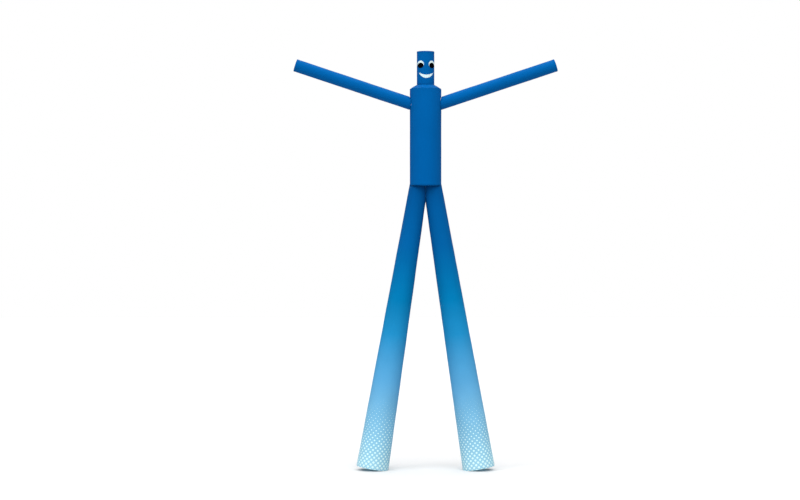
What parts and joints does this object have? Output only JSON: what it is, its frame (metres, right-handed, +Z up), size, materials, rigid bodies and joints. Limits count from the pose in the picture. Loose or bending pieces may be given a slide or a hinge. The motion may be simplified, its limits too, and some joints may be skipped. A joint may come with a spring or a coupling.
{
  "type": "inflatable air dancer",
  "caption": "Two-legged inflatable air dancer: cloth tubes for head, body, raised arms and splayed legs, open at the feet to take air and at head and hands to let it out, with a smiling face.",
  "frame": {"origin": "on the floor, midway between the two foot hems", "axes": "+Z up, -Y the way the face looks, +X to the right of someone who looks at the face"},
  "size_m": [3.7922, 0.461, 6],
  "materials": {
    "blue_cloth": "coated ripstop nylon, dyed blue, slight sheen",
    "printed_cloth": "coated ripstop nylon printed in a fade from blue to pale blue, with pale dots over its lower half",
    "white_patch": "white nylon appliqué",
    "black_patch": "black nylon appliqué"
  },
  "bodies": {
    "root": {"head": "blue_cloth", "shoulders": "blue_cloth", "body": "blue_cloth", "base_front": "blue_cloth", "base_back": "blue_cloth", "arm_left": "blue_cloth", "arm_right": "blue_cloth", "leg_left": "printed_cloth", "leg_right": "printed_cloth", "eye_left_white": "white_patch", "eye_right_white": "white_patch", "eye_left_pupil": "black_patch", "eye_right_pupil": "black_patch", "mouth": "white_patch"}
  },
  "joints": []
}
